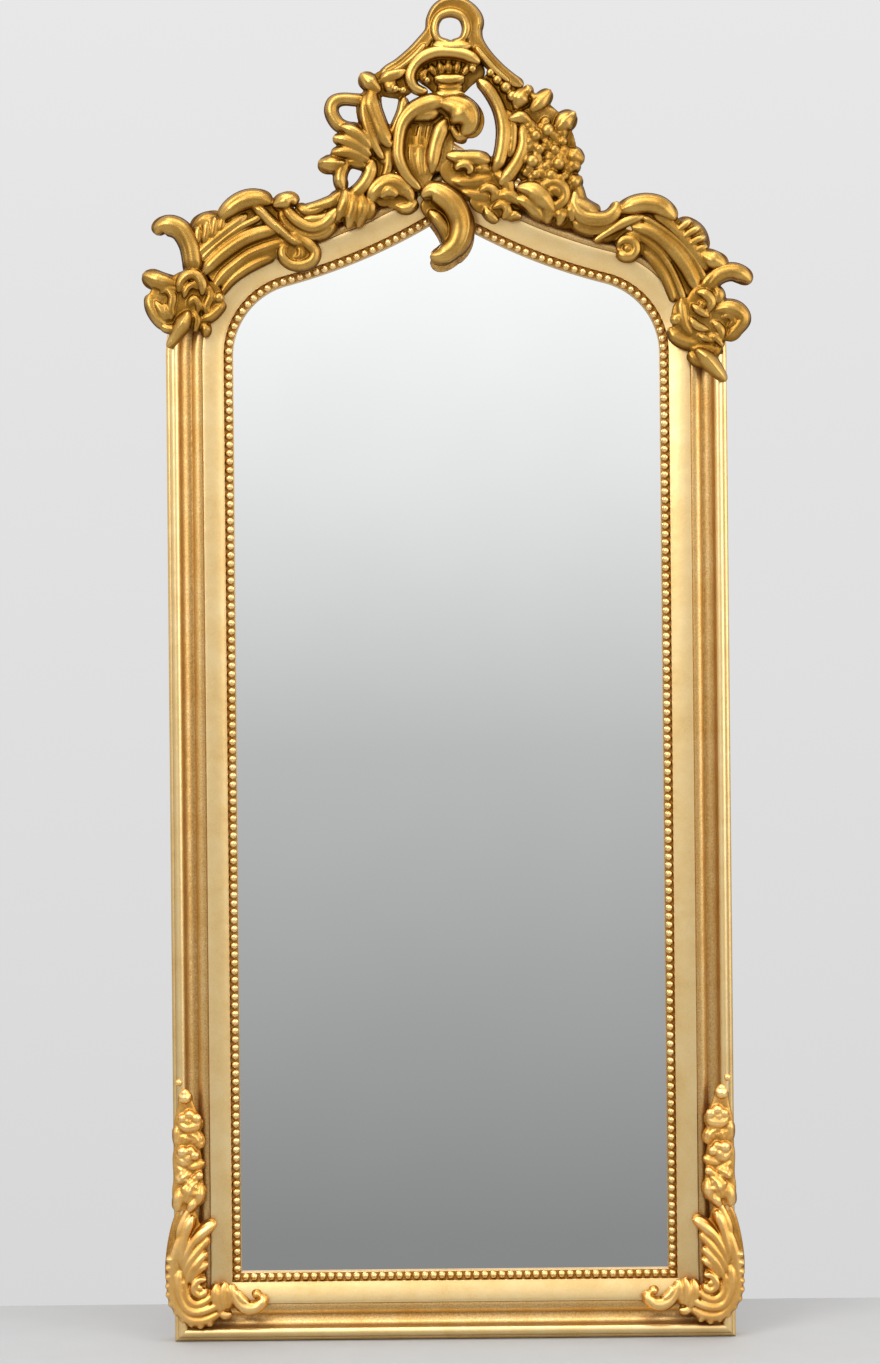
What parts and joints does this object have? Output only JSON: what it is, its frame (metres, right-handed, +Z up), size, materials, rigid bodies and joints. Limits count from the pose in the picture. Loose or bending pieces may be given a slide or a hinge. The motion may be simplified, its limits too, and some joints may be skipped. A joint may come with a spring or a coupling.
{
  "type": "baroque wall mirror",
  "caption": "Tall gilt baroque wall mirror with an arched, crested frame, pearl-beaded sight edge and back hangers.",
  "frame": {"origin": "on the wall, at the centre of the back face of the wall pad on the bottom rail", "axes": "+X to the right seen from the front, +Y out of the back into the wall, +Z up"},
  "size_m": [0.833, 0.0675, 1.7996],
  "materials": {
    "gilt_moulding": "gesso on pine, gold leaf, burnished and toned",
    "gilt_pearls": "pressed composition pearls, gold leaf",
    "gilt_ornament": "cast composition ornament, gold leaf with brown toning in the recesses",
    "silvered_glass": "back-silvered float glass",
    "hardboard": "brown hardboard",
    "cork": "cork sheet",
    "rubber_block": "neoprene setting blocks",
    "felt": "dense grey felt",
    "beech": "turned beech",
    "pine": "sawn pine",
    "zinc_steel": "zinc-plated steel plate",
    "zinc_screw": "zinc-plated wood screw",
    "brass_screw": "brass wood screw",
    "nickel_steel": "nickel-plated steel",
    "brass_button": "pressed brass"
  },
  "bodies": {
    "mirror_frame": {"left_stile": "gilt_moulding", "right_stile": "gilt_moulding", "bottom_rail": "gilt_moulding", "left_shoulder": "gilt_moulding", "right_shoulder": "gilt_moulding", "left_arch": "gilt_moulding", "right_arch": "gilt_moulding", "bead_row_left": "gilt_pearls", "bead_row_right": "gilt_pearls", "bead_row_bottom": "gilt_pearls", "bead_row_head_left": "gilt_pearls", "bead_row_head_right": "gilt_pearls", "crest_shell": "gilt_ornament", "crest_fan": "gilt_ornament", "crest_finial_loop": "gilt_ornament", "crest_pendant_leaf": "gilt_ornament", "crest_right_scroll": "gilt_ornament", "crest_base_scroll": "gilt_ornament", "crest_leaf_spray": "gilt_ornament", "crest_flower_spray": "gilt_ornament", "shoulder_scroll_left": "gilt_ornament", "shoulder_scroll_right": "gilt_ornament", "shoulder_leaf_left": "gilt_ornament", "shoulder_leaf_right": "gilt_ornament", "corner_spray_left": "gilt_ornament", "corner_spray_right": "gilt_ornament", "foot_acanthus_left": "gilt_ornament", "foot_acanthus_right": "gilt_ornament", "side_drop_left": "gilt_ornament", "side_drop_right": "gilt_ornament", "mirror_glass": "silvered_glass", "backing_board": "hardboard", "glass_pads": "cork", "setting_blocks": "rubber_block", "wall_pad": "felt", "joint_dowels": "beech", "crest_support_block": "pine", "joint_plates": "zinc_steel", "corner_plates": "zinc_steel", "plate_screws": "zinc_screw", "crest_screws": "zinc_screw", "hanger_screws": "zinc_screw", "turn_button_screws": "brass_screw", "hanger_strap_left": "nickel_steel", "hanger_strap_right": "nickel_steel"},
    "hanger_ring_left": {"hanger_ring_left": "nickel_steel"},
    "hanger_ring_right": {"hanger_ring_right": "nickel_steel"},
    "turn_button_left_1": {"turn_button_left_1": "brass_button"},
    "turn_button_left_2": {"turn_button_left_2": "brass_button"},
    "turn_button_left_3": {"turn_button_left_3": "brass_button"},
    "turn_button_right_1": {"turn_button_right_1": "brass_button"},
    "turn_button_right_2": {"turn_button_right_2": "brass_button"},
    "turn_button_right_3": {"turn_button_right_3": "brass_button"},
    "turn_button_bottom": {"turn_button_bottom": "brass_button"},
    "turn_button_head_left": {"turn_button_head_left": "brass_button"},
    "turn_button_head_right": {"turn_button_head_right": "brass_button"}
  },
  "joints": [
    {"name": "hanger_ring_left_swing", "type": "hinge", "parent": "mirror_frame", "child": "hanger_ring_left", "pos_m": [-0.338, -0.0045, 1.208], "axis": [-1, 0, 0], "range_deg": [0, 180]},
    {"name": "hanger_ring_right_swing", "type": "hinge", "parent": "mirror_frame", "child": "hanger_ring_right", "pos_m": [0.338, -0.0045, 1.208], "axis": [-1, 0, 0], "range_deg": [0, 180]},
    {"name": "turn_button_left_1_turn", "type": "hinge", "parent": "mirror_frame", "child": "turn_button_left_1", "pos_m": [-0.312, -0.00705, 0.261], "axis": [0, 1, 0], "continuous": true},
    {"name": "turn_button_left_2_turn", "type": "hinge", "parent": "mirror_frame", "child": "turn_button_left_2", "pos_m": [-0.312, -0.00705, 0.6595], "axis": [0, 1, 0], "continuous": true},
    {"name": "turn_button_left_3_turn", "type": "hinge", "parent": "mirror_frame", "child": "turn_button_left_3", "pos_m": [-0.312, -0.00705, 1.058], "axis": [0, 1, 0], "continuous": true},
    {"name": "turn_button_right_1_turn", "type": "hinge", "parent": "mirror_frame", "child": "turn_button_right_1", "pos_m": [0.312, -0.00705, 0.261], "axis": [0, 1, 0], "continuous": true},
    {"name": "turn_button_right_2_turn", "type": "hinge", "parent": "mirror_frame", "child": "turn_button_right_2", "pos_m": [0.312, -0.00705, 0.6595], "axis": [0, 1, 0], "continuous": true},
    {"name": "turn_button_right_3_turn", "type": "hinge", "parent": "mirror_frame", "child": "turn_button_right_3", "pos_m": [0.312, -0.00705, 1.058], "axis": [0, 1, 0], "continuous": true},
    {"name": "turn_button_bottom_turn", "type": "hinge", "parent": "mirror_frame", "child": "turn_button_bottom", "pos_m": [0, -0.00705, 0.047], "axis": [0, 1, 0], "continuous": true},
    {"name": "turn_button_head_left_turn", "type": "hinge", "parent": "mirror_frame", "child": "turn_button_head_left", "pos_m": [-0.10665, -0.00705, 1.46504], "axis": [0, 1, 0], "continuous": true},
    {"name": "turn_button_head_right_turn", "type": "hinge", "parent": "mirror_frame", "child": "turn_button_head_right", "pos_m": [0.10665, -0.00705, 1.46504], "axis": [0, 1, 0], "continuous": true}
  ]
}
